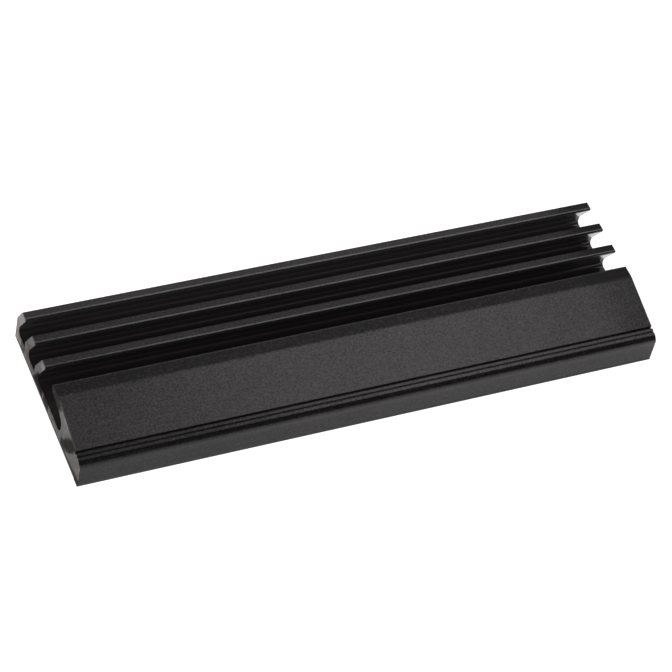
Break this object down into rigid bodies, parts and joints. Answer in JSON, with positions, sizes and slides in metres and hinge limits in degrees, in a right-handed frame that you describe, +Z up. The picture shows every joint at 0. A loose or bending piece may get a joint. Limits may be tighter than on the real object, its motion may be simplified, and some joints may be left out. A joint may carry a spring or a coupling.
{
  "type": "ssd heat sink",
  "caption": "Low black aluminium heat sink for a stick-shaped solid-state drive: a broad grooved wing over a hollow, beside a row of leaning fins on a thin base.",
  "frame": {"origin": "middle of the footprint, on the plane that the two feet stand on", "axes": "+X along the extrusion, +Y from the grooved front face to the back, +Z up from the feet to the fin tops"},
  "size_m": [0.07, 0.0212, 0.0056],
  "materials": {
    "black_anodised_aluminium": "satin black anodised, with bare cut ends"
  },
  "bodies": {
    "root": {"heatsink_extrusion": "black_anodised_aluminium"}
  },
  "joints": []
}
